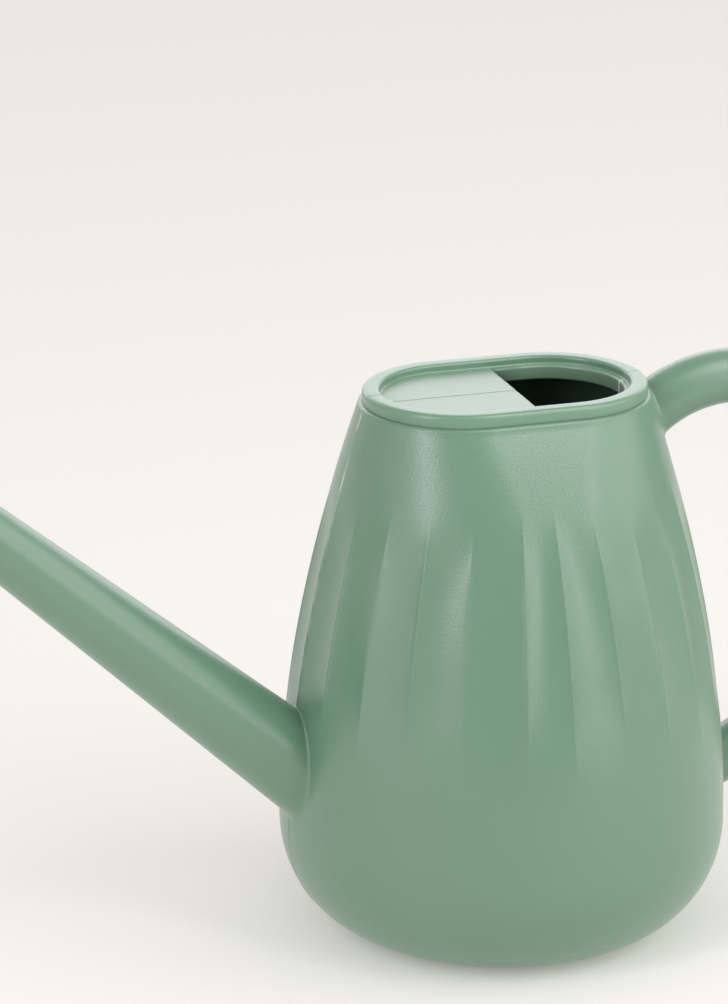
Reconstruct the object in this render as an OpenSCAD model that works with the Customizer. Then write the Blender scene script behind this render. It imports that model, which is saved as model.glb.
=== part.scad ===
// Long-spout watering can: one hollow plastic moulding, divided into the regions it is made of.
// Origin: centre of the base, on the ground. +Z is up, the spout points to -X, the handle is at +X.

/* [Body] */
// Height of the top of the rim above the ground
can_h = 200; // [180:1:240]
// Radius of the round belly at its widest
belly_r = 80; // [70:0.5:96]
// Height of the widest point of the belly
belly_z = 39; // [34:1:46]
// Outer radius of the standing ring on the ground
foot_r = 45; // [40:1:52]
// Width of the flat standing ring
ring_w = 5; // [3:0.5:8]
// Height of the raised middle of the base
kick_h = 5; // [3:0.5:8]
// Width of the flat just inside the standing ring
pan_flat = 1.8; // [1:0.1:3]
// Width of the slope from that flat up to the raised middle
pan_slope = 4.2; // [3:0.1:6]
// Share of its height that the raised middle loses by its edge
pan_sag = 0.3; // [0.1:0.05:0.5]
// Thickness of the moulded wall
wall = 2; // [1.6:0.1:2.4]
// How far the side leans inwards per millimetre of height at the spout and handle ends of the shoulder
lean_x = 0.305; // [0.2:0.01:0.4]
// The same lean on the two long sides of the shoulder
lean_y = 0.62; // [0.5:0.01:0.75]

/* [Flutes] */
// Number of scalloped flutes round the body
flutes = 24; // [18:2:28]
// Depth of a flute below its ridges
flute_d = 1.5; // [0.8:0.1:2]
// Height of the smooth belly above its widest point, where the flutes begin
flute_start = 35; // [28:1:42]
// Height over which the flutes grow to their full depth
flute_grow = 38; // [20:1:46]
// Height over which the flutes fade out towards the shoulder
flute_fade = 31; // [20:1:38]
// Height of the smooth neck between the flutes and the top of the rim
flute_end = 29; // [24:1:36]

/* [Rim] */
// Half length of the oval rim, along X
rim_a = 51.1; // [42:0.1:62]
// Half width of the oval rim, along Y
rim_b = 34.5; // [28:0.1:42]
// Width of the rim's top
rim_w = 6.2; // [5:0.1:7.5]
// Height of the rim above the groove that runs round under it
rim_h = 4.6; // [4:0.1:6]
// Radius of the rim's outer top edge
rim_round = 1.8; // [1:0.1:2]
// Radius of the rim's inner top edge
rim_inner_round = 1.2; // [0.6:0.1:1.6]
// How far the shoulder stands out past the rim
shoulder = 1.6; // [1:0.1:2.4]
// Height of the shoulder's rounded edge
shoulder_h = 1.4; // [1:0.1:2]

/* [Splash deck and filler] */
// Depth of the deck below the top of the rim
deck_drop = 3; // [2:0.1:3.2]
// Distance of the filler's straight edge from the middle of the can
filler_x = 4.4; // [0:0.2:10]
// Width of the ledge round the filler's curved edge
ledge_w = 2.3; // [2:0.1:3.5]
// Depth of the filler's turned-down lip below the deck
lip_drop = 5.2; // [3:0.1:6]
// Thickness of the turned-down lip
lip_t = 1.8; // [1.2:0.1:1.8]

/* [Spout] */
// Angle of the spout above the ground
spout_angle = 41.4; // [38:0.2:45]
// Height of the spout's axis at its root plane, above the belly's widest point
spout_up = 25.5; // [21:0.5:30]
// How far the root plane lies inside the belly's side
spout_in = 5; // [4:0.5:8]
// Outer radius of the spout at its root plane
spout_r = 16.2; // [13:0.1:19.5]
// Length of the root that carries the junction bead
spout_root_l = 30; // [28:1:36]
// Length of the spout from the root plane to its straight end
spout_l = 196; // [150:1:250]
// Outer radius of the spout's straight end
tip_r = 9; // [7:0.1:11]
// Length of the spout's straight end
tip_l = 16; // [10:1:24]

/* [Handle] */
// Radius of the handle's tube
grip_r = 9.8; // [8.5:0.1:12.3]
// Radius of the handle's upper bend, to the middle of the tube
bend_r = 48.5; // [44:0.5:54]
// Distance of the upper bend's centre out past the end of the rim
bend_out = 33; // [32:0.1:38]
// Height of the top of the handle above the top of the rim
bend_up = 5; // [4:0.1:6]
// Length of the handle's straight grip, between its upper bend and its lower one
grip_l = 23; // [8:1:40]
// Height of the lower root above the belly's widest point, less the radius of the tube
heel_up = -1.1; // [-2:0.1:6]
// Turn of the lower bend's first stretch, which carries the junction with the body
foot_turn = 22; // [14:1:30]

/* [Hidden] */
sage = "#7d9a82";
pale_sage = "#8fa993";
smooth = 96;               // sides of the plain round shapes
eps = 0.01;                // smallest overlap of a cutter
corner_steps = 4;          // steps of a rounded edge
dome_steps = 3;            // steps from the middle of the base to its edge
bowl_steps = 14;           // steps of the bowl's quarter ellipse

pan_r = foot_r - ring_w;
groove_z = can_h - rim_h;
deck_z = can_h - deck_drop;
deck_t = rim_h - deck_drop;
shoulder_z = groove_z - shoulder_h;
flute_z0 = belly_z + flute_start;
flute_z1 = flute_z0 + flute_grow;
flute_z3 = can_h - flute_end;
flute_z2 = flute_z3 - flute_fade;
neck_a = rim_a - rim_w;    // the rim's inner outline
neck_b = rim_b - rim_w;
straight = rim_a - rim_b;  // half length of the oval's straight sides

// --- The body's surface ---------------------------------------------------------------------
per_flute = 3;             // facets across one flute
around = flutes * per_flute;
belly_levels = 3;
flute_levels = 11;
neck_levels = 3;
root_span = 35;            // angle to each side of a root that its cutter spans
root_steps = ceil(root_span * around / 360);
root_top = belly_levels + 5;   // level above the spout's root
neck_under = 3;            // levels of the flutes that the upper root's cutter spans
root_deep = 12;            // how far the spout's tube starts inside the root plane

// Smooth step from 0 to 1 as t goes from 0 to 1.
function ease(t) = let(u = min(1, max(0, t))) u * u * (3 - 2 * u);

// Half size of the body at height z: from the belly, with no lean there, to the shoulder's lean.
function side(z, top, lean) =
    let(t = (z - belly_z) / (shoulder_z - belly_z), s = ease(t))
    belly_r * (1 - s) + top * s + lean * (shoulder_z - belly_z) * (t * t - t * t * t);

// Distance from the axis to an oval with round ends, half length a and half width b, at angle w.
function oval(w, a, b) =
    let(h = max(0, a - b), c = abs(cos(w)), s = abs(sin(w)))
    c * b < h * s ? b / s : h * c + sqrt(max(0, b * b - h * h * s * s));

// Depth of the flutes at height z and angle w: a round scallop between two ridges.
function scallop(z, w) =
    let(pitch = 360 / flutes, u = (w - pitch * floor(w / pitch)) / pitch * 2 - 1)
    flute_d * (1 - u * u) * ease((z - flute_z0) / (flute_z1 - flute_z0))
    * (1 - ease((z - flute_z2) / (flute_z3 - flute_z2)));

// One point of the body, a distance t inside its outer surface.
function skin(z, w, t) =
    let(r = oval(w, side(z, rim_a + shoulder, lean_x) - t, side(z, rim_b + shoulder, lean_y) - t)
            - scallop(z, w))
    [r * cos(w), r * sin(w), z];

function steps(low, high, n) = [for (i = [0 : n - 1]) low + (high - low) * i / n];
levels = concat(steps(belly_z, flute_z0, belly_levels), steps(flute_z0, flute_z3, flute_levels),
                steps(flute_z3, shoulder_z, neck_levels), [shoulder_z]);

function ring(z, t, from = 0, to = around - 1) = [for (i = [from : to]) skin(z, i * 360 / around, t)];

// The rounded shoulder edge, which ends in the groove under the rim.
function edge_ring(t, from = 0, to = around - 1) = [for (i = [from : to])
    let(w = i * 360 / around, r = oval(w, rim_a - t, rim_b - t)) [r * cos(w), r * sin(w), groove_z]];

// Triangles between neighbouring closed rings of n points, wound outwards.
function walls(rings, n, first = 0) = [for (k = [0 : rings - 2], i = [0 : n - 1])
    let(j = (i + 1) % n, a = first + k * n + i, b = first + k * n + j)
    each [[a, a + n, b + n], [a, b + n, b]]];

// A closed solid through rings of points, each ring starting at a point that sees the whole ring.
module loft(rings) {
    n = len(rings[0]);
    last = (len(rings) - 1) * n;
    polyhedron(points = [for (r = rings) each r],
               faces = concat(walls(len(rings), n), [for (i = [1 : n - 2]) each
                   [[0, i, i + 1], [last, last + i + 1, last + i]]]));
}

// A sector of the filled body, from angle step a to b and level p to q, for cutting the roots.
// With edge, it goes on over the rounded shoulder edge to the groove.
module body_sector(a, b, p, q, edge = false) {
    loft(concat([for (k = [p : q]) concat([[0, 0, levels[k]]], ring(levels[k], 0, a, b))],
                edge ? [concat([[0, 0, groove_z]], edge_ring(0, a, b))] : []));
}

// --- Outlines of the rim, swept round the oval -----------------------------------------------
// Sweeps a profile of [radius, z] points round the oval; the profile's radii are those of its ends.
// Where x_min is given, only the part beyond it is kept.
module oval_sweep(x_min = undef) {
    intersection() {
        union() {
            for (side_x = [0, 1]) mirror([side_x, 0, 0]) translate([straight, 0, 0])
                rotate([0, 0, -90]) rotate_extrude(angle = 180, $fn = smooth) children();
            for (side_y = [0, 1]) mirror([0, side_y, 0]) translate([-straight, 0, 0])
                rotate([90, 0, 90]) linear_extrude(2 * straight) children();
        }
        if (!is_undef(x_min))
            translate([x_min, -belly_r, 0]) cube([2 * belly_r, 2 * belly_r, 2 * can_h]);
    }
}

// Points of a quarter round of radius r about [x, y], from angle a to a + 90.
function corner(x, y, r, a) = [for (i = [0 : corner_steps]) let(w = a + 90 * i / corner_steps)
    [x + r * cos(w), y + r * sin(w)]];

// The raised middle of the base: a shallow dome, its slope, and the flat inside the standing ring.
module base_pan() {
    dome_r = pan_r - pan_flat - pan_slope;
    under = concat(
        [for (i = [0 : dome_steps]) let(u = i / dome_steps) [u * dome_r, kick_h * (1 - pan_sag * u * u)]],
        [[pan_r - pan_flat, 0], [pan_r, 0]]);
    color(sage) rotate_extrude($fn = smooth) polygon(concat(
        under,
        [for (i = [len(under) - 1 : -1 : 0]) under[i] + [0, wall]]));
}

// The bowl's outer profile: a quarter ellipse from the standing ring to the belly.
bowl_outline = [for (i = [0 : bowl_steps]) let(w = 90 * i / bowl_steps)
    [foot_r + (belly_r - foot_r) * sin(w), belly_z * (1 - cos(w))]];

// The smooth lower bowl.
module belly_bowl() {
    in_x = belly_r - wall - foot_r;
    color(sage) rotate_extrude($fn = smooth) polygon(concat(
        [[pan_r, wall], [pan_r, 0]],
        bowl_outline,
        [for (i = [bowl_steps : -1 : 0]) let(w = 90 * i / bowl_steps)
            [foot_r + in_x * sin(w), belly_z - (belly_z - wall) * cos(w)]]));
}

// The filled bowl, for cutting the handle's lower root.
module bowl_fill() {
    rotate_extrude($fn = smooth) polygon(concat([[0, 0]], bowl_outline, [[0, belly_z]]));
}

module fluted_wall() {
    outer = concat([for (z = levels) ring(z, 0)], [edge_ring(0)]);
    inner = concat([for (z = levels) ring(z, wall)], [edge_ring(wall)]);
    count = len(outer);
    shift = count * around;
    top = (count - 1) * around;
    color(sage) difference() {
        polyhedron(
            points = concat([for (r = outer) each r], [for (r = inner) each r]),
            faces = concat(
                walls(count, around),
                [for (f = walls(count, around, shift)) [f[2], f[1], f[0]]],
                [for (i = [0 : around - 1]) let(j = (i + 1) % around) each
                    [[i, j, j + shift], [i, j + shift, i + shift],
                     [top + i, top + j + shift, top + j], [top + i, top + i + shift, top + j + shift]]]));
        spout_axis() translate([0, 0, -root_deep])
            spout_cone(root_deep + spout_root_l, -root_deep, wall);
        upper_bend(90, neck_cut) circle(grip_r - wall, $fn = smooth);
        lower_bend(-heel_turn - heel_open, 2 * heel_open) circle(grip_r - wall, $fn = smooth);
    }
}

module rim_collar() {
    color(pale_sage) oval_sweep() polygon(concat(
        [[neck_b, groove_z], [rim_b, groove_z]],
        corner(rim_b - rim_round, can_h - rim_round, rim_round, 0),
        corner(neck_b + rim_inner_round, can_h - rim_inner_round, rim_inner_round, 90)));
}

module splash_deck() {
    color(pale_sage) translate([0, 0, groove_z]) linear_extrude(deck_t) intersection() {
        union() {
            translate([-straight, 0]) circle(neck_b, $fn = smooth);
            translate([-straight, -neck_b]) square([straight + filler_x, 2 * neck_b]);
        }
        translate([-belly_r, -neck_b]) square([belly_r + filler_x, 2 * neck_b]);
    }
}

module filler_lip() {
    lip_b = neck_b - ledge_w;
    color(pale_sage) oval_sweep(filler_x) polygon([
        [lip_b, deck_z], [neck_b, deck_z], [neck_b, groove_z], [lip_b + lip_t, groove_z],
        [lip_b + lip_t, deck_z - lip_drop], [lip_b, deck_z - lip_drop]]);
}

// --- Spout -----------------------------------------------------------------------------------
// Places its children with +Z along the spout, at the root plane.
module spout_axis() {
    translate([spout_in - belly_r, 0, belly_z + spout_up]) rotate([0, spout_angle - 90, 0]) children();
}

// Outer radius of the spout at distance s from the root plane.
function spout_at(s) = spout_r + (tip_r - spout_r) * s / spout_l;

// A cone that follows the spout for length l from distance s, shrunk by t.
module spout_cone(l, s, t) {
    cylinder(h = l, r1 = spout_at(s) - t, r2 = spout_at(s + l) - t, $fn = smooth);
}

module spout_root() {
    color(sage) difference() {
        spout_axis() difference() {
            translate([0, 0, -root_deep]) spout_cone(root_deep + spout_root_l, -root_deep, 0);
            translate([0, 0, -root_deep - eps])
                spout_cone(root_deep + spout_root_l + 2 * eps, -root_deep - eps, wall);
        }
        body_sector(around / 2 - root_steps, around / 2 + root_steps, 0, root_top);
    }
}

module spout_tube() {
    color(sage) spout_axis() difference() {
        translate([0, 0, spout_root_l]) spout_cone(spout_l - spout_root_l, spout_root_l, 0);
        translate([0, 0, spout_root_l - eps])
            spout_cone(spout_l - spout_root_l + 2 * eps, spout_root_l - eps, wall);
    }
}

module spout_tip() {
    color(sage) spout_axis() translate([0, 0, spout_l]) difference() {
        cylinder(h = tip_l, r = tip_r, $fn = smooth);
        translate([0, 0, -eps]) cylinder(h = tip_l + 2 * eps, r = tip_r - wall, $fn = smooth);
    }
}

// --- Handle ----------------------------------------------------------------------------------
bend_x = rim_a + bend_out;
bend_z = can_h + bend_up - bend_r - grip_r;
outer_x = bend_x + bend_r;                     // middle of the tube at its furthest from the can
root_x = belly_r - wall;                       // where the lower bend's middle line meets the body
heel_z = belly_z + grip_r + heel_up;
heel_bend_z = bend_z - grip_l;                 // the lower bend is upright at this height
heel_out = outer_x - root_x;
heel_rise = heel_bend_z - heel_z;
heel_r = (pow(heel_out, 2) + pow(heel_rise, 2)) / (2 * heel_out);
heel_turn = acos(1 - heel_out / heel_r);       // angle that the lower bend turns through
heel_in = 4;                                   // turn of the lower bend that starts inside the body
heel_open = 9;                                 // half turn of the opening from it into the body
neck_start = 150;                              // angle of the upper bend well inside the body
neck_cut = 55;                                 // turn of the opening from the handle into the body

// A stretch of the upper bend that starts at angle a and runs on anticlockwise for angle turn.
module upper_bend(a, turn) {
    translate([bend_x, 0, bend_z]) rotate([90, 0, 0]) rotate([0, 0, a])
        rotate_extrude(angle = turn, $fn = smooth) translate([bend_r, 0]) children();
}

// A stretch of the lower bend that starts at angle a and runs on anticlockwise for angle turn.
module lower_bend(a, turn) {
    translate([outer_x - heel_r, 0, heel_bend_z]) rotate([90, 0, 0]) rotate([0, 0, a])
        rotate_extrude(angle = turn, $fn = smooth) translate([heel_r, 0]) children();
}

module tube_ring() {
    difference() {
        circle(grip_r, $fn = smooth);
        circle(grip_r - wall, $fn = smooth);
    }
}

module handle_neck() {
    color(sage) difference() {
        upper_bend(90, neck_start - 90) tube_ring();
        body_sector(-root_steps, root_steps, belly_levels + flute_levels - neck_under,
                    len(levels) - 1, edge = true);
    }
}

module handle_bow() {
    color(sage) upper_bend(0, 90) tube_ring();
}

module handle_grip() {
    color(sage) translate([outer_x, 0, heel_bend_z])
        linear_extrude(bend_z - heel_bend_z) tube_ring();
}

module handle_heel() {
    color(sage) lower_bend(foot_turn - heel_turn, heel_turn - foot_turn) tube_ring();
}

module handle_foot() {
    color(sage) difference() {
        lower_bend(-heel_turn - heel_in, foot_turn + heel_in) tube_ring();
        body_sector(-root_steps, root_steps, 0, root_top);
        bowl_fill();
    }
}

base_pan();
belly_bowl();
fluted_wall();
rim_collar();
splash_deck();
filler_lip();
spout_root();
spout_tube();
spout_tip();
handle_neck();
handle_bow();
handle_grip();
handle_heel();
handle_foot();
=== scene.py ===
"""Long-spout watering can in matte sage plastic: a blow-moulded body with scalloped flutes, an oval
rim, a half deck over the filler, a tapering spout and a loop handle."""
import math
import bmesh
import bpy
import numpy as np
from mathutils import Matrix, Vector


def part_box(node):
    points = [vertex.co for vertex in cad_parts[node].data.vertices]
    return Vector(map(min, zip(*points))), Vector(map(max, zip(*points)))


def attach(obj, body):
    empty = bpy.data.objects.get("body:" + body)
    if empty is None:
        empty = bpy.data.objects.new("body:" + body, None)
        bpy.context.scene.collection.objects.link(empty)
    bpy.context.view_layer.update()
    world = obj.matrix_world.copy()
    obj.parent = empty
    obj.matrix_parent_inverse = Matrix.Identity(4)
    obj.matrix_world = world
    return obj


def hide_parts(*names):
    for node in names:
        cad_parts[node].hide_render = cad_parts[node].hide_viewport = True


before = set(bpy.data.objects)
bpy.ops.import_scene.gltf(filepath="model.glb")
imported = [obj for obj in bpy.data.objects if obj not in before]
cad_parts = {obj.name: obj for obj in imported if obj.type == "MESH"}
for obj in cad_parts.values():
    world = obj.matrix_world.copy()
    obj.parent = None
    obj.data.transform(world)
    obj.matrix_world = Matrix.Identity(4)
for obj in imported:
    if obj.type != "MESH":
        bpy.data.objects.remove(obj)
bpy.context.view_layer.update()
MM = 0.001

# --- Sizes read from the frame (metres) --------------------------------------------------------
wall_low, wall_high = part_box("fluted_wall")
_, rim_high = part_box("rim_collar")
deck_low, deck_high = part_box("splash_deck")
lip_low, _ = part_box("filler_lip")
_, pan_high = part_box("base_pan")
bow_low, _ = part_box("handle_bow")
grip_low, grip_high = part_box("handle_grip")

BELLY_R = wall_high.x                 # the round belly at its widest
BELLY_Z = wall_low.z
GROOVE_Z = wall_high.z                # the groove that runs round under the rim
RIM_A, RIM_B = rim_high.x, rim_high.y
RIM_TOP = rim_high.z
NECK_B = deck_high.y                  # half width inside the rim
DECK_Z = deck_high.z
FILLER_X = lip_low.x                  # the filler's straight edge
LIP_Z = lip_low.z
STRAIGHT = RIM_A - RIM_B              # half length of the oval's straight sides
PAN_R, PAN_TOP = pan_high.x, pan_high.z
GRIP_R = (grip_high.x - grip_low.x) / 2
GRIP_X = (grip_high.x + grip_low.x) / 2
BEND_X, BEND_Z = bow_low.x, grip_high.z         # centre of the handle's upper bend
BEND_R = GRIP_X - BEND_X
HEEL_Z = grip_low.z                   # where the straight grip ends and the lower bend starts

# --- Sizes of the moulding that the boxes don't hold --------------------------------------------
FOOT_R = 45 * MM                      # outer edge of the standing ring
WALL = 2.0 * MM                       # thickness of the moulded wall
LEAN_X, LEAN_Y = 0.305, 0.62          # lean of the shoulder at its ends and on its long sides
SHOULDER, SHOULDER_H = 1.6 * MM, 1.4 * MM       # how far the shoulder stands past the rim, its height
FLUTES = 24
FLUTE_D = 1.5 * MM
FLUTE_Z = (74 * MM, 112 * MM, 140 * MM, 171 * MM)      # flutes start, are full, start to fade, end
RIDGE_BEAD = 0.13 * MM
RIDGE_WIDTH = 0.075                   # of half a flute
LEDGE = 2.3 * MM                      # width of the filler's ledge
LIP_T = 1.8 * MM                      # thickness of the turned-down lip
SPOUT_ANGLE = math.radians(41.4)
SPOUT_ROOT = np.array([-75.0, 0.0, 64.5]) * MM
SPOUT_R, TIP_R = 16.2 * MM, 9.0 * MM
SPOUT_L, TIP_L = 196 * MM, 16 * MM    # the taper and the straight end
HEEL_ROOT = np.array([BELLY_R - WALL, 47.7 * MM])      # where the lower bend meets the body, (x, z)
HEEL_OUT, HEEL_RISE = GRIP_X - HEEL_ROOT[0], HEEL_Z - HEEL_ROOT[1]
HEEL_R = (HEEL_OUT ** 2 + HEEL_RISE ** 2) / (2 * HEEL_OUT)
HEEL_TURN = math.acos(1 - HEEL_OUT / HEEL_R)
BEND_TURN = math.radians(150)
BEND_L, GRIP_L = BEND_R * BEND_TURN, BEND_Z - HEEL_Z

# --- Finish and light ---------------------------------------------------------------------------
SHEEN = 0.2
MATT = 0.33                           # roughness of the outer skin
GREEN = (0.121, 0.240, 0.154)
# green lightened for the deck and the filler's walls: painted light, and on the deck a painted grazing
# reflection
PAINTED_LIGHT_GREEN = (0.165, 0.275, 0.185)
WHITENED = (0.62, 0.68, 0.60)         # plastic stressed along the parting line
CLOUDINESS = 0.04                     # share by which the colour drifts either way
GLOSS_DRIFT = 0.03                    # by which the roughness drifts either way
WHITENING_Y = (0.4 * MM, 1.1 * MM)    # whitening is full within the first and gone at the second
WHITENING_Z = (140 * MM, 185 * MM)    # and grows between these heights
COOL = (0.96, 0.92, 1.0)              # light of a window in shade


# --- Shapes -------------------------------------------------------------------------------------
def ease(t):
    """Smooth step: 3t^2 - 2t^3 between 0 and 1."""
    t = np.clip(t, 0, 1)
    return t * t * (3 - 2 * t)


def side(z, top, lean):
    """Half size of the body at height z: a cubic from the belly, upright there, to the shoulder's lean."""
    rise = GROOVE_Z - SHOULDER_H - BELLY_Z
    t = (z - BELLY_Z) / rise
    s = ease(t)
    return BELLY_R * (1 - s) + top * s + lean * rise * (t * t - t ** 3)


def oval(w, a, b):
    """Distance from the axis to an oval with round ends at angle w: half length a, half width b."""
    h = np.maximum(0, a - b)
    c, s = np.abs(np.cos(w)), np.abs(np.sin(w))
    flat = b / np.maximum(s, 1e-9)
    round_end = h * c + np.sqrt(np.maximum(0, b * b - h * h * s * s))
    return np.where(c * b < h * s, flat, round_end)


def scallop(z, w):
    """Depth of the flutes: D(1 - u^2) - B exp(-((1 - |u|) / width)^2) between two ridges, which leaves
    a fine bead on each ridge; eased in above the belly and out below the shoulder."""
    u = np.mod(w / (2 * math.pi / FLUTES), 1) * 2 - 1
    bead = RIDGE_BEAD * np.exp(-((1 - np.abs(u)) / RIDGE_WIDTH) ** 2)
    rise = ease((z - FLUTE_Z[0]) / (FLUTE_Z[1] - FLUTE_Z[0]))
    fade = 1 - ease((z - FLUTE_Z[2]) / (FLUTE_Z[3] - FLUTE_Z[2]))
    return (FLUTE_D * (1 - u * u) - bead) * rise * fade


def body_radius(z, w, inset=0.0, phase=None):
    """Distance from the axis to the body's surface at height z and angle w, inset by a wall. The
    flutes follow phase where it is given, and w otherwise."""
    low = FOOT_R + (BELLY_R - FOOT_R) * np.sqrt(np.clip(1 - ((BELLY_Z - z) / BELLY_Z) ** 2, 0, 1))
    a = np.where(z < BELLY_Z, low, side(z, RIM_A + SHOULDER, LEAN_X)) - inset
    b = np.where(z < BELLY_Z, low, side(z, RIM_B + SHOULDER, LEAN_Y)) - inset
    return oval(w, a, np.minimum(a, b)) - scallop(z, w if phase is None else phase)


def grid_mesh(name, points, close_u=True, close_v=False, cap=False, sides=False, closed=True):
    """A mesh from an array of points [rows, columns, 3], closed round its columns or rows, and capped
    with a flat face at its first and last row. With sides, a grid whose second half of rows runs back
    under the first is closed along its first and last column."""
    rows, cols = points.shape[:2]
    index = np.arange(rows * cols).reshape(rows, cols)
    down = np.vstack([index, index[:1]]) if close_v else index
    wide = np.hstack([down, down[:, :1]]) if close_u else down
    quads = np.stack([wide[:-1, :-1], wide[:-1, 1:], wide[1:, 1:], wide[1:, :-1]], -1).reshape(-1, 4)
    faces = quads.tolist()
    if cap:
        faces += [index[0, ::-1].tolist(), index[-1].tolist()]
    if sides:
        half = rows // 2
        for column, way in ((0, -1), (cols - 1, 1)):
            up, back = index[:half, column], index[half:, column][::-1]
            strip = np.stack([up[:-1], back[:-1], back[1:], up[1:]], -1)
            faces += strip[:, ::way].tolist()
    mesh = bpy.data.meshes.new(name)
    mesh.from_pydata(points.reshape(-1, 3).tolist(), [], faces)
    if closed:
        face_outwards(mesh)
    mesh.update()
    mesh.shade_smooth()
    piece = bpy.data.objects.new(name, mesh)
    bpy.context.scene.collection.objects.link(piece)
    return piece


def face_outwards(mesh):
    """Turns every face round where the volume that the closed mesh holds comes out negative."""
    work = bmesh.new()
    work.from_mesh(mesh)
    if work.calc_volume(signed=True) < 0:
        bmesh.ops.reverse_faces(work, faces=work.faces)
        work.to_mesh(mesh)
    work.free()


def turned(angle, radius, z):
    """Points of rows (radius, z) turned to each angle, as [rows, columns, 3]."""
    x = radius * np.cos(angle)
    y = radius * np.sin(angle)
    return np.stack(np.broadcast_arrays(x, y, z), -1)


def arc(cx, cy, r, start, turn, steps):
    """Points of a circular arc: centre + r(cos, sin), from start through turn degrees."""
    t = np.radians(start + turn * np.linspace(0, 1, steps))
    return np.stack([cx + r * np.cos(t), cy + r * np.sin(t)], -1)


def seam_columns(steps):
    """Angles round the body: even steps that hold every ridge, and close ones beside each ridge and
    beside the parting line."""
    even = np.arange(steps) * 2 * math.pi / steps
    beside_ridge = np.radians([-0.8, -0.5, -0.25, 0.25, 0.5, 0.8])
    ridges = np.arange(FLUTES)[:, None] * 2 * math.pi / FLUTES + beside_ridge
    beside_seam = np.radians([0.12, 0.38])
    seams = np.concatenate([c + beside_seam * k for c in (0, math.pi) for k in (-1, 1)])
    angles = np.mod(np.concatenate([even, ridges.ravel(), seams]), 2 * math.pi)
    return np.unique(np.round(angles, 9))


def moved_ridge(phase):
    """Angle at which a column of the body stands: one flute on each long side is wider than the next,
    so its ridge is moved a * exp(-((phase - ridge) / width)^2) towards the middle."""
    ridge, width, shift = math.radians(15), math.radians(9), math.radians(2.4)
    near = phase - 1.5 * math.pi + ridge
    far = phase - 0.5 * math.pi - ridge
    return phase + shift * (np.exp(-(near / width) ** 2) - np.exp(-(far / width) ** 2))


def flash(points, height, width):
    """Raises a fine rounded flash where the skin crosses the parting plane: h * exp(-(y / w)^2)."""
    out = points.copy()
    r = np.linalg.norm(points[..., :2], axis=-1, keepdims=True)
    lift = height * np.exp(-(points[..., 1:2] / width) ** 2)
    out[..., :2] += points[..., :2] / np.maximum(r, 1e-9) * lift
    return out


def make_body(green, painted_shade_green):
    """The moulded wall from the standing ring to the groove: outer skin, inner skin and the edges
    between them, each row an oval at one height. The faces inside the can take a darker green,
    painted shade for the dark inside of the can."""
    phase = seam_columns(288)[None, :]
    w = moved_ridge(phase)
    ring = np.linspace(0, 1, 4)[:, None]
    foot = turned(w, PAN_R + (FOOT_R - PAN_R) * ring[:-1], 0 * ring[:-1])
    q = np.radians(np.linspace(0, 90, 27))[:-1, None]
    low_z = BELLY_Z * (1 - np.cos(q))
    bowl = turned(w, FOOT_R + (BELLY_R - FOOT_R) * np.sin(q) + 0 * w, low_z)
    z = np.linspace(BELLY_Z, GROOVE_Z - SHOULDER_H, 108)[:, None]
    wall = turned(w, body_radius(z, w, phase=phase), z)
    q = np.radians(np.linspace(0, 90, 7))[1:, None]
    off = SHOULDER * np.cos(q)
    edge = turned(w, oval(w, RIM_A + off, RIM_B + off), GROOVE_Z - SHOULDER_H * (1 - np.sin(q)))
    tuck = 0.25 * MM
    under = turned(w, oval(w, RIM_A - tuck, RIM_B - tuck), GROOVE_Z + 0 * w)
    skin = flash(np.vstack([bowl, wall, edge]), height=0.22 * MM, width=0.3 * MM)
    z = np.linspace(GROOVE_Z, BELLY_Z, 26)[:, None]
    back_z = np.minimum(z, GROOVE_Z - SHOULDER_H)
    inner = turned(w, body_radius(back_z, w, WALL, phase), z)
    q = np.radians(np.linspace(90, 0, 14))[1:, None]
    in_r = FOOT_R + (BELLY_R - WALL - FOOT_R) * np.sin(q)
    inner_bowl = turned(w, in_r + 0 * w, BELLY_Z - (BELLY_Z - WALL) * np.cos(q))
    last = turned(w, PAN_R + 0 * w, WALL + 0 * w)
    outside = np.vstack([foot, skin, under])
    rows = np.vstack([outside, inner, inner_bowl, last])
    piece = grid_mesh("body", rows, close_v=True)
    finish = np.zeros(rows.shape[:2], int)
    finish[outside.shape[0]:-1] = 1
    piece.data.materials.append(green)
    piece.data.materials.append(painted_shade_green)
    piece.data.polygons.foreach_set("material_index", finish.ravel())
    return piece


def make_base():
    """The raised middle of the base: a shallow dome turned about the axis, which eases down to the
    ring, with a fine pinched weld h * exp(-(y / w)^2) across it where the mould closed."""
    w = np.linspace(0, 2 * math.pi, 192, endpoint=False)[None, :]
    r = np.concatenate([np.linspace(0.002, 0.8, 14), np.linspace(0.83, 1, 14)])[:, None] * PAN_R
    flat, slope = 0.72, 0.28                # shares of the radius that are raised and that slope
    crown = 0.12                            # share of the height
    lift = (PAN_TOP - WALL) * (1 - ease((r / PAN_R - flat) / slope))
    lift = lift * (1 - crown * (r / PAN_R) ** 2)
    under = turned(w, r + 0 * w, lift + 0 * w)
    weld_h, weld_w = 0.5 * MM, 0.5 * MM
    weld_end, weld_fade = 0.9, 0.1
    weld = weld_h * np.exp(-(under[..., 1] / weld_w) ** 2) * ease((weld_end - r / PAN_R) / weld_fade)
    under[..., 2] -= weld
    top = turned(w, r[::-1] + 0 * w, (lift + WALL)[::-1] + 0 * w)
    rows = np.vstack([under, top])
    return grid_mesh("base", rows, cap=True)


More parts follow.
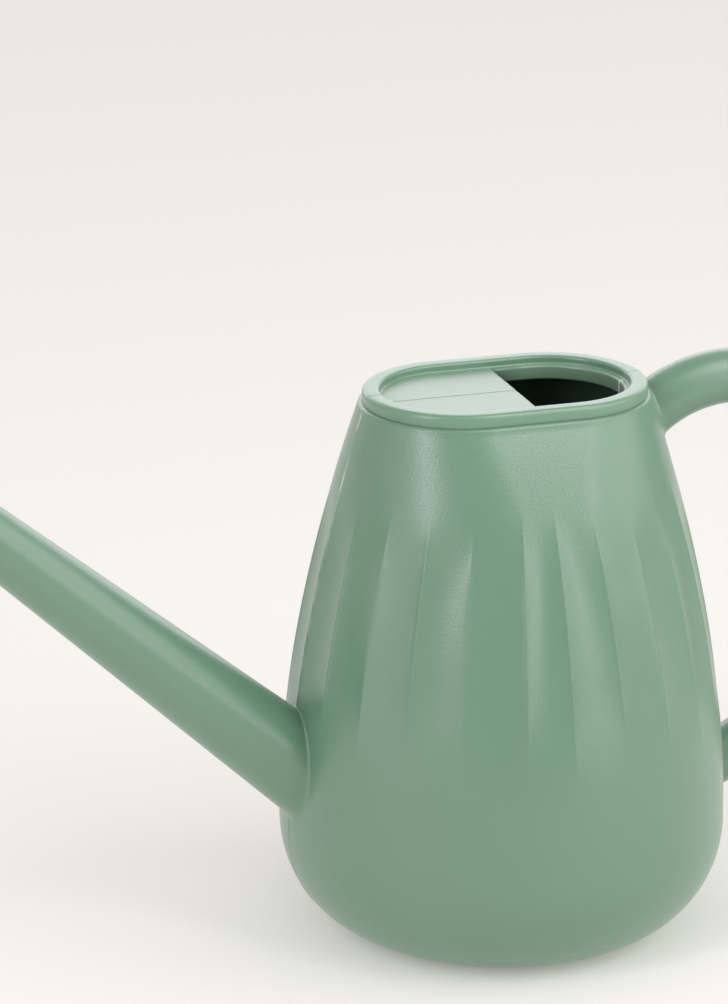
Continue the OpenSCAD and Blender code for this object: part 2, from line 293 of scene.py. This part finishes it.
def oval_outline(count_round, count_straight, whole=True, x_min=None):
    """Centre line points and outward directions round the rim's oval: half turns about its two end
    centres joined by straights, anticlockwise from +X. Without whole, only the part beyond x_min."""
    beside_seam = np.array([0.1, 0.25, 0.4, 0.6, 0.9])
    even = np.linspace(-90, 90, count_round)
    t = np.radians(np.sort(np.concatenate([even, beside_seam, -beside_seam])))
    ends = np.stack([STRAIGHT + 0 * t, 0 * t, np.cos(t), np.sin(t)], -1)
    if not whole:
        low = np.array([[x_min, 0, 0, -1.0]])
        high = np.array([[x_min, 0, 0, 1.0]])
        return np.vstack([low, ends, high])
    run = np.linspace(STRAIGHT, -STRAIGHT, count_straight)[1:-1]
    top = np.stack([run, 0 * run, 0 * run, 0 * run + 1], -1)
    far = ends * np.array([-1, 1, -1, -1])
    bottom = top * np.array([-1, 1, 1, -1])
    return np.vstack([ends, top, far, bottom])


def swept(profile, outline, seam, width):
    """Points [profile rows, outline columns, 3]: centre + radius * direction, at the profile's height.
    Where the profile crosses the parting plane it stands out by seam * exp(-(y / width)^2)."""
    along = np.gradient(profile, axis=0)
    out = np.stack([along[:, 1], -along[:, 0]], -1) / np.linalg.norm(along, axis=1)[:, None]
    y = outline[None, :, 1] + profile[:, :1] * outline[None, :, 3]
    lift = seam * np.exp(-(y / width) ** 2)
    r, z = profile[:, :1] + out[:, :1] * lift, profile[:, 1:] + out[:, 1:] * lift
    x = outline[None, :, 0] + r * outline[None, :, 2]
    y = outline[None, :, 1] + r * outline[None, :, 3]
    return np.stack(np.broadcast_arrays(x, y, z), -1)


def make_rim():
    """The raised rim: a closed profile with a rounded outer edge, a softer inner edge and a small
    cove down to the deck, swept round the oval."""
    outer, inner, cove, lead = 1.8 * MM, 1.2 * MM, 0.7 * MM, 0.2 * MM      # radii of its arcs
    tread, tuck, sink = 1.2 * MM, 0.3 * MM, 0.1 * MM          # foot outside, and inside under the deck
    profile = np.vstack([
        [[RIM_B - tread, GROOVE_Z]],
        arc(RIM_B - lead, GROOVE_Z + lead, lead, -90, 90, 5),
        arc(RIM_B - outer, RIM_TOP - outer, outer, 0, 90, 10),
        arc(NECK_B + inner, RIM_TOP - inner, inner, 90, 90, 8),
        arc(NECK_B - cove, DECK_Z + cove, cove, 0, -90, 6),
        [[NECK_B - cove - tuck, DECK_Z - sink], [NECK_B - cove - tuck, GROOVE_Z]],
    ])
    points = swept(profile, oval_outline(97, 24), seam=0.14 * MM, width=0.22 * MM)
    return grid_mesh("rim", points, close_v=True)


def make_deck():
    """The splash deck: a flat plate inside the rim, cut straight at the filler. The mould's seam along
    its middle is a low swelling with a fine groove in it, both h * exp(-(y / w)^2). The cut is moved
    back by a nick of the same form, beside the seam, and by two sine waves that leave it ragged."""
    x0, x1 = deck_low.x, FILLER_X
    round_end = 0.5 * (1 - np.cos(np.radians(np.linspace(4, 90, 40))))
    u = np.concatenate([round_end, np.linspace(0.5, 1, 40)[1:]])
    x = (x0 + (x1 - x0) * u)[:, None]
    fine, coarse = np.linspace(-0.07, 0.07, 57), np.linspace(0.075, 1, 60)
    v = np.concatenate([-coarse[::-1], fine, coarse])[None, :]
    half = np.where(x < -STRAIGHT, np.sqrt(np.maximum(NECK_B ** 2 - (x + STRAIGHT) ** 2, 0)), NECK_B)
    y = half * v
    edge, trim = 1.2 * MM, 0.1 * MM
    nick_d, nick_y, nick_w = 0.9 * MM, -0.8 * MM, 0.55 * MM
    wave_d, wave_long, wave_short = 0.05 * MM, 0.9 * MM, 0.37 * MM
    near_cut = ease((x - x1 + edge) / edge)
    nick = nick_d * np.exp(-((y - nick_y) / nick_w) ** 2)
    ragged = wave_d * (np.sin(y / wave_long) + np.sin(y / wave_short + 1))
    cut_x = x - (nick + ragged + trim) * near_cut
    swell_h, swell_w = 0.10 * MM, 0.7 * MM
    groove_d, groove_w = 0.17 * MM, 0.2 * MM
    seam = swell_h * np.exp(-(y / swell_w) ** 2) - groove_d * np.exp(-(y / groove_w) ** 2)
    sink, bevel = 0.02 * MM, 0.35 * MM
    top = np.stack(np.broadcast_arrays(cut_x, y, DECK_Z - sink + seam), -1)
    drop = np.stack(np.broadcast_arrays(cut_x, y, GROOVE_Z + 0 * y), -1)
    top[-1, :, 2] -= bevel
    rows = np.vstack([top, drop[::-1]])
    return grid_mesh("splash_deck_skin", rows, close_u=False, close_v=True, sides=True)


def make_lip():
    """The filler's ledge and turned-down lip: an L-shaped closed profile with rounded edges, swept
    round the filler's curved side and closed flat at both ends."""
    edge = NECK_B - LEDGE
    soft, tip, lead = 0.8 * MM, LIP_T / 2, 0.3 * MM
    profile = np.vstack([
        [[NECK_B, DECK_Z], [NECK_B - lead, DECK_Z]],
        arc(edge + soft, DECK_Z - soft, soft, 90, 90, 7),
        arc(edge + tip, LIP_Z + tip, tip, 180, 180, 9),
        [[edge + LIP_T, GROOVE_Z], [NECK_B, GROOVE_Z]],
    ])
    outline = oval_outline(97, 24, whole=False, x_min=FILLER_X)
    points = swept(profile, outline, seam=0.3 * MM, width=0.3 * MM)
    columns = points.transpose(1, 0, 2)
    return grid_mesh("filler_lip_skin", columns, cap=True)


# --- Tubes that leave the body ------------------------------------------------------------------
def meets_body(point, low, high):
    """Distance along a tube at which each of its lines leaves the body, by halving: point(s) gives
    the lines' points, low is inside the body and high outside."""
    low, high = np.array(low, float), np.array(high, float)
    for _ in range(40):
        mid = (low + high) / 2
        p = point(mid)
        out = np.hypot(p[..., 0], p[..., 1]) > body_radius(p[..., 2], np.arctan2(p[..., 1], p[..., 0]))
        high, low = np.where(out, mid, high), np.where(out, low, mid)
    return (low + high) / 2


def fillet(start, corner, end, steps=9):
    """Rows from start to end that round off the corner: (1-t)^2 start + 2t(1-t) corner + t^2 end."""
    t = np.linspace(0, 1, steps)[:, None, None]
    return (1 - t) ** 2 * start + 2 * t * (1 - t) * corner + t * t * end


def sunk(points, depth):
    """The same points moved towards the body's axis."""
    inwards = points.copy()
    r = np.linalg.norm(points[:, :2], axis=-1, keepdims=True)
    inwards[:, :2] -= points[:, :2] / r * depth
    return inwards


def rooted(on_body, corner, free):
    """Rows of a tube's root: a deep row and a skirt just under the body's skin, which carries the
    fillet's foot on along the skin, then the fillet out to the free tube."""
    reach, deep, shallow = 0.35, 0.8 * MM, 0.12 * MM
    skirt = on_body + reach * (on_body - corner)
    hidden = [sunk(skirt, deep)[None], sunk(skirt, shallow)[None]]
    return np.vstack([*hidden, fillet(on_body, corner, free)])


def spout_point(s, w, r):
    """A point of the spout: root + s along it + r round it, with angle w measured from +Y."""
    along = np.array([-math.cos(SPOUT_ANGLE), 0, math.sin(SPOUT_ANGLE)])
    over = np.array([math.sin(SPOUT_ANGLE), 0, math.cos(SPOUT_ANGLE)])
    across = np.array([0.0, 1.0, 0.0])
    s, w, r = (np.asarray(v)[..., None] for v in np.broadcast_arrays(s, w, r))
    return SPOUT_ROOT + s * along + r * (np.cos(w) * across + np.sin(w) * over)


def spout_radius(s):
    """The spout's straight taper, then its straight end."""
    return np.maximum(TIP_R, SPOUT_R + (TIP_R - SPOUT_R) * s / SPOUT_L)


def make_spout():
    """The spout: rows run out from the curve where it meets the body, over a small fillet and along
    the taper to a rounded open end, then back down the bore."""
    w = np.linspace(0, 2 * math.pi, 144, endpoint=False)
    low, high = -12 * MM + 0 * w, 60 * MM + 0 * w          # inside the body, and clear of it
    start = meets_body(lambda s: spout_point(s, w, spout_radius(s)), low, high)
    round_off = (1.3 - 0.3 * np.sin(w)) * MM               # 1.0 mm above the spout, 1.6 mm under it
    foot_s = meets_body(lambda s: spout_point(s, w, spout_radius(start) + round_off), low, high)
    on_body = spout_point(foot_s, w, spout_radius(start) + round_off)
    corner = spout_point(start, w, spout_radius(start))
    clear = start + 1.3 * round_off
    root = rooted(on_body, corner, spout_point(clear, w, spout_radius(clear)))
    t = np.linspace(0, 1, 60)[1:, None]
    s = clear * (1 - t) + SPOUT_L * t
    taper = spout_point(s, w, spout_radius(s))
    lip, step = 0.6 * MM, 5 * MM
    end = SPOUT_L + TIP_L
    tip_profile = np.vstack([
        [[SPOUT_L + step, TIP_R], [end - step, TIP_R]],
        arc(end - lip, TIP_R - lip, lip, 90, -90, 6),
        arc(end - lip, TIP_R - WALL + lip, lip, 0, -90, 6),
    ])
    tip = spout_point(tip_profile[:, :1], w, tip_profile[:, 1:])
    inside = meets_body(lambda s: spout_point(s, w, spout_radius(s) - WALL), low, high)
    past_wall = 1.2 * MM
    s = SPOUT_L * (1 - t) + (inside - past_wall) * t
    bore = spout_point(s, w, spout_radius(s) - WALL)
    rows = np.vstack([root, taper, tip, bore])
    return grid_mesh("spout", rows, close_v=True)


def handle_path(s):
    """Centre (x, z) and direction of the handle at distance s from the start of its upper bend: a
    bend round (BEND_X, BEND_Z), a straight grip, then the long lower bend, in the parting plane."""
    a = BEND_TURN - np.clip(s, 0, BEND_L) / BEND_R
    g = np.maximum(s - BEND_L - GRIP_L, 0) / HEEL_R
    down = np.clip(s - BEND_L, 0, GRIP_L)
    x = BEND_X + BEND_R * np.cos(a) - HEEL_R * (1 - np.cos(g))
    z = BEND_Z + BEND_R * np.sin(a) - down - HEEL_R * np.sin(g)
    return x, z, a - math.pi / 2 - g


def handle_point(s, w, r):
    """A point of the handle: path centre + r round it, with angle w measured from +Y."""
    s, w, r = np.broadcast_arrays(s, w, r)
    x, z, turn = handle_path(s)
    x = x - r * np.sin(w) * np.sin(turn)
    z = z + r * np.sin(w) * np.cos(turn)
    return np.stack([x, r * np.cos(w), z], -1)


def handle_root(w, inside, outside, grow):
    """The rows of one root of the handle, and the distances along its path at which they end. The
    path is in the body at inside and clear of it at outside; grow is the fillet's size round it."""
    low, high = inside + 0 * w, outside + 0 * w
    way = math.copysign(1, outside - inside)
    start = meets_body(lambda s: handle_point(s, w, GRIP_R), low, high)
    foot_s = meets_body(lambda s: handle_point(s, w, GRIP_R + grow), low, high)
    on_body = handle_point(foot_s, w, GRIP_R + grow)
    free = start + way * 1.4 * grow
    return rooted(on_body, handle_point(start, w, GRIP_R), handle_point(free, w, GRIP_R)), free


def make_handle():
    """The handle: rows run round the loop between the curves where it leaves the body, with a small
    fillet at each root."""
    w = np.linspace(0, 2 * math.pi, 96, endpoint=False)
    above = np.sin(w)                      # 1 along the outside of the loop, -1 along its inside
    root_s = BEND_L + GRIP_L + HEEL_R * HEEL_TURN
    deep, clear = 14 * MM, 25 * MM         # inside the body, and clear of it
    first, neck = handle_root(w, 0, BEND_L * 0.6, (1.6 - 1.1 * above) * MM)
    last, foot = handle_root(w, root_s + deep, root_s - clear, (1.6 + 0.6 * above) * MM)
    t = np.linspace(0, 1, 170)[1:-1, None]
    loop = handle_point(neck * (1 - t) + foot * t, w, GRIP_R)
    rows = np.vstack([first, loop, last[::-1]])
    return grid_mesh("handle", rows, cap=True)


# --- Finish -------------------------------------------------------------------------------------
def map_range(nodes, links, value, low, high, to_low, to_high):
    """Map Range from low..high to to_low..to_high, clamped; returns its output."""
    node = nodes.new("ShaderNodeMapRange")
    for name, number in zip(("From Min", "From Max", "To Min", "To Max"), (low, high, to_low, to_high)):
        node.inputs[name].default_value = number
    links.new(value, node.inputs["Value"])
    return node.outputs["Result"]


def product(nodes, links, *values):
    """Multiplies the outputs together."""
    result = values[0]
    for value in values[1:]:
        node = nodes.new("ShaderNodeMath")
        node.operation = "MULTIPLY"
        links.new(result, node.inputs[0])
        links.new(value, node.inputs[1])
        result = node.outputs[0]
    return result


def noise(nodes, links, place, scale, detail):
    """A noise pattern on the object's own coordinates."""
    node = nodes.new("ShaderNodeTexNoise")
    node.inputs["Scale"].default_value = scale
    node.inputs["Detail"].default_value = detail
    links.new(place.outputs["Object"], node.inputs["Vector"])
    return node.outputs["Fac"]


def moulded_plastic(name, colour, rough, grain, whitening):
    """Matte moulded plastic: a fine leathery grain in bump and roughness, a faint cloudiness in the
    colour, and stress whitening in patches along the parting plane, most of it under the rim."""
    material = bpy.data.materials.new(name)
    material.use_nodes = True
    nodes, links = material.node_tree.nodes, material.node_tree.links
    shader = nodes["Principled BSDF"]
    shader.inputs["Specular IOR Level"].default_value = 1.0
    shader.inputs["Sheen Weight"].default_value = SHEEN
    shader.inputs["Sheen Roughness"].default_value = 0.35
    place = nodes.new("ShaderNodeTexCoord")

    cloud = noise(nodes, links, place, scale=28, detail=3)
    tint = nodes.new("ShaderNodeMix")
    tint.data_type = "RGBA"
    tint.inputs["A"].default_value = (*[c * (1 - CLOUDINESS) for c in colour], 1)
    tint.inputs["B"].default_value = (*[c * (1 + CLOUDINESS) for c in colour], 1)
    links.new(cloud, tint.inputs["Factor"])

    split = nodes.new("ShaderNodeSeparateXYZ")
    links.new(place.outputs["Object"], split.inputs["Vector"])
    off = nodes.new("ShaderNodeMath")
    off.operation = "ABSOLUTE"
    links.new(split.outputs["Y"], off.inputs[0])
    line = map_range(nodes, links, off.outputs[0], *WHITENING_Y, 1, 0)
    height = map_range(nodes, links, split.outputs["Z"], *WHITENING_Z, 0.25, 1)
    blotches = noise(nodes, links, place, scale=120, detail=4)
    patch = map_range(nodes, links, blotches, 0.42, 0.62, 0.15, 1)
    amount = map_range(nodes, links, product(nodes, links, line, height, patch), 0, 1, 0, whitening)
    pale = nodes.new("ShaderNodeMix")
    pale.data_type = "RGBA"
    pale.inputs["B"].default_value = (*WHITENED, 1)
    links.new(tint.outputs["Result"], pale.inputs["A"])
    links.new(amount, pale.inputs["Factor"])
    links.new(pale.outputs["Result"], shader.inputs["Base Color"])

    leather = noise(nodes, links, place, scale=1500, detail=1)
    gloss = map_range(nodes, links, leather, 0.3, 0.7, rough - GLOSS_DRIFT, rough + GLOSS_DRIFT)
    links.new(gloss, shader.inputs["Roughness"])
    bump = nodes.new("ShaderNodeBump")
    bump.inputs["Strength"].default_value = 1
    bump.inputs["Distance"].default_value = grain
    links.new(leather, bump.inputs["Height"])
    links.new(bump.outputs["Normal"], shader.inputs["Normal"])
    return material


def stand_in_for(piece, slot, material, *nodes):
    """Gives a piece its finish, where it has none, and its place in the table of pieces."""
    if not piece.data.materials:
        piece.data.materials.append(material)
    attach(piece, "root")
    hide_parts(*nodes)


# the rim's green is lightened to paint the light that falls on it: painted light
rim_painted_light_colour = [c * 1.1 for c in GREEN]
# the inside's green is darkened to paint the shade inside the can: painted shade
inside_painted_shade_colour = [c * 0.5 for c in GREEN]
green = moulded_plastic("sage_plastic", GREEN, MATT, grain=0.06 * MM, whitening=0.9)
green_tube = moulded_plastic("sage_plastic_tube", GREEN, MATT, grain=0.05 * MM, whitening=0.06)
green_rim_painted_light = moulded_plastic("sage_plastic_rim_painted_light", rim_painted_light_colour, MATT, grain=0.04 * MM, whitening=0.25)
# the deck and the filler's lip take the lightened green: painted light and painted reflection
green_top_painted_light = moulded_plastic("sage_plastic_top_painted_light", PAINTED_LIGHT_GREEN, MATT, grain=0.03 * MM, whitening=0.1)
green_lip_painted_light = moulded_plastic("sage_plastic_lip_painted_light", PAINTED_LIGHT_GREEN, MATT, grain=0.03 * MM, whitening=0.9)
painted_shade_green = moulded_plastic("sage_plastic_inside_painted_shade", inside_painted_shade_colour, 0.5, grain=0.05 * MM, whitening=0)
pieces = [make_body(green, painted_shade_green), make_base(), make_rim(), make_deck(), make_lip(), make_spout(),
          make_handle()]
body, base, rim, deck, lip, spout, handle = pieces
stand_in_for(body, "moulded_green", green, "belly_bowl", "fluted_wall")
stand_in_for(base, "moulded_green", green_tube, "base_pan")
stand_in_for(rim, "moulded_green_top", green_rim_painted_light, "rim_collar")
stand_in_for(deck, "moulded_green_top", green_top_painted_light, "splash_deck")
stand_in_for(lip, "moulded_green_top", green_lip_painted_light, "filler_lip")
stand_in_for(spout, "moulded_green", green_tube, "spout_root", "spout_tube", "spout_tip")
stand_in_for(handle, "moulded_green", green_tube,
             "handle_neck", "handle_bow", "handle_grip", "handle_heel", "handle_foot")


# --- Stage, light and camera --------------------------------------------------------------------
def make_floor():
    """A wide pale sheet just under the can, softly lit from within as a light table is."""
    x = np.linspace(-8, 8, 3)
    points = np.stack(np.broadcast_arrays(x[None, :], x[:, None], -0.1 * MM), -1)
    sheet = grid_mesh("floor", points, close_u=False, closed=False)
    paper = bpy.data.materials.new("floor_paper")
    paper.use_nodes = True
    shader = paper.node_tree.nodes["Principled BSDF"]
    shader.inputs["Base Color"].default_value = (0.905, 0.885, 0.86, 1)
    shader.inputs["Roughness"].default_value = 0.9
    shader.inputs["Specular IOR Level"].default_value = 0.1
    shader.inputs["Emission Color"].default_value = (1.0, 0.955, 0.90, 1)
    shader.inputs["Emission Strength"].default_value = 0.20
    sheet.data.materials.append(paper)


def soft_light(name, turn, rise, distance, size, bright, colour=(1, 1, 1), lit=None):
    """A rectangular soft light facing the can, at an azimuth from the front and a height in degrees;
    its power is its brightness times pi times its area. It lights only the pieces in the collection
    lit, or everything where there is none."""
    turn, rise = math.radians(turn), math.radians(rise)
    target = Vector((0, 0, 120 * MM))      # the middle of the can
    away = Vector((math.sin(turn) * math.cos(rise), -math.cos(turn) * math.cos(rise), math.sin(rise)))
    place = target + away * distance
    data = bpy.data.lights.new(name, "AREA")
    data.shape = "RECTANGLE"
    data.size, data.size_y = size
    data.energy = bright * math.pi * size[0] * size[1]
    data.color = colour
    lamp = bpy.data.objects.new(name, data)
    bpy.context.scene.collection.objects.link(lamp)
    lamp.location = place
    lamp.rotation_euler = (target - place).to_track_quat("-Z", "Y").to_euler()
    if lit:
        lamp.light_linking.receiver_collection = lit


def make_camera():
    """A long lens 1.6 m from the rim, a little towards the spout and above the rim."""
    turn, rise, distance = math.radians(19.514), math.radians(16.97), 1.6
    rim_centre = Vector((0, 0, RIM_TOP))
    back = Vector((-math.sin(turn) * math.cos(rise), -math.cos(turn) * math.cos(rise), math.sin(rise)))
    aim = Vector((-51.9, 0, 161.3)) * MM
    data = bpy.data.cameras.new("camera")
    data.lens = 163.8
    data.clip_end = 50
    camera = bpy.data.objects.new("camera", data)
    bpy.context.scene.collection.objects.link(camera)
    camera.location = rim_centre + back * distance
    camera.rotation_euler = (aim - camera.location).to_track_quat("-Z", "Y").to_euler()
    bpy.context.scene.camera = camera


def make_world():
    """Even pale light from all round."""
    world = bpy.data.worlds.new("studio")
    world.use_nodes = True
    sky = world.node_tree.nodes["Background"]
    sky.inputs["Color"].default_value = (1.0, 0.985, 0.965, 1)
    sky.inputs["Strength"].default_value = 0.62
    bpy.context.scene.world = world


make_floor()
make_camera()
make_world()
soft_light("left_window", -60, 30, 1.7, (0.33, 1.3), 5.6, COOL)
soft_light("right_strip", 31, 26, 1.7, (0.38, 1.6), 2.9)
soft_light("right_window", 66, 26, 1.9, (1.3, 1.3), 1.5)
can_only = bpy.data.collections.new("can_only")
for piece in pieces:
    can_only.objects.link(piece)
soft_light("back_window", 163, 23, 1.9, (3.3, 1.25), 1.7, COOL, can_only)
soft_light("overhead", 40, 60, 1.6, (1.0, 0.9), 2.4, lit=can_only)
soft_light("left_wall", -85, 4, 1.8, (1.2, 1.0), 0.55, COOL, can_only)
bpy.context.scene.view_settings.view_transform = "Standard"
